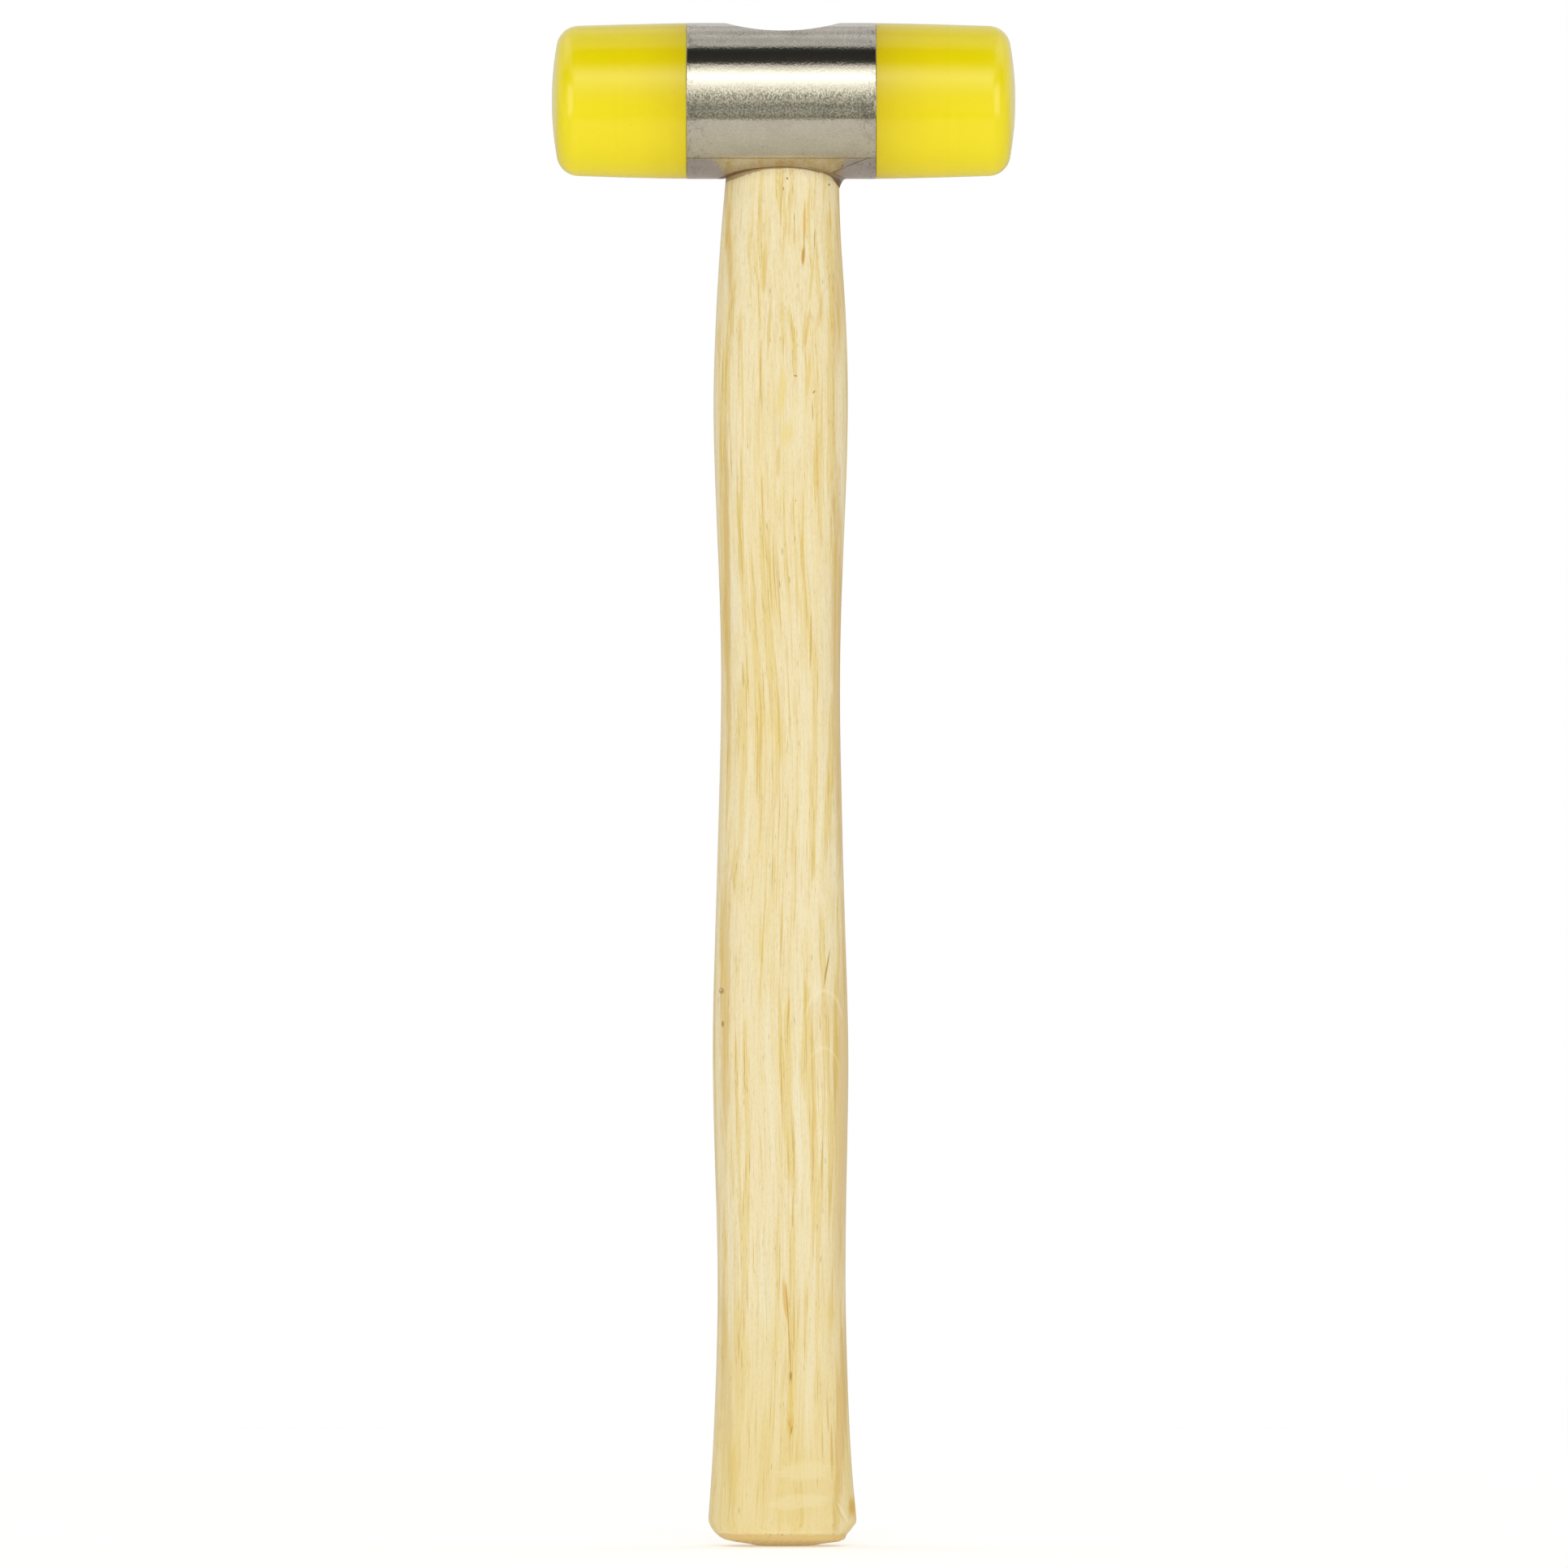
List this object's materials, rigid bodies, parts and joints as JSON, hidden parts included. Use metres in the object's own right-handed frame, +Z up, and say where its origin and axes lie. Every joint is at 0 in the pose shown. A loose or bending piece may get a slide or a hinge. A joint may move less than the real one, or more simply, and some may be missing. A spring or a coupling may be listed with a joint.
{
  "type": "soft-face mallet",
  "caption": "Mallet with a steel cylindrical head, screw-in yellow plastic striking faces and an oval hardwood handle wedged through the head.",
  "frame": {"origin": "bottom of the handle's butt, under the middle of the head's length and depth; the mallet stands upright on z = 0", "axes": "+Z up the handle towards the head, +X along the head towards the right face seen from the front, +Y away from the viewer, across the head"},
  "size_m": [0.1038, 0.035, 0.3413],
  "materials": {
    "head_steel": "turned and tumbled bare steel, satin, with fine circumferential grain and small pits",
    "stud_steel": "plain machined steel",
    "wedge_steel": "dull pressed steel",
    "face_plastic": "waxy translucent yellow, satin gloss",
    "handle_wood": "pale ash or hickory with coarse pores, thin clear varnish",
    "wedge_wood": "bare hardwood end grain"
  },
  "bodies": {
    "handle_and_head": {"handle": "handle_wood", "head_body": "head_steel", "wood_wedge": "wedge_wood", "steel_wedge": "wedge_steel"},
    "left_stud": {"stud_left": "stud_steel"},
    "left_face": {"face_left": "face_plastic"},
    "right_stud": {"stud_right": "stud_steel"},
    "right_face": {"face_right": "face_plastic"}
  },
  "joints": [
    {"name": "face_left_travel", "type": "slide", "parent": "handle_and_head", "child": "left_stud", "axis": [-1, 0, 0], "range_m": [0, 0.007]},
    {"name": "face_left_turn", "type": "hinge", "parent": "left_stud", "child": "left_face", "pos_m": [-0.022, 0, 0.3238], "axis": [-1, 0, 0], "range_deg": [0, 1440]},
    {"name": "face_right_travel", "type": "slide", "parent": "handle_and_head", "child": "right_stud", "axis": [1, 0, 0], "range_m": [0, 0.007]},
    {"name": "face_right_turn", "type": "hinge", "parent": "right_stud", "child": "right_face", "pos_m": [0.021, 0, 0.3238], "axis": [1, 0, 0], "range_deg": [0, 1440]}
  ],
  "couplings": [
    {"joint": "face_left_travel", "follows": "face_left_turn", "m_per_rad": 0.0002785},
    {"joint": "face_right_travel", "follows": "face_right_turn", "m_per_rad": 0.0002785}
  ]
}
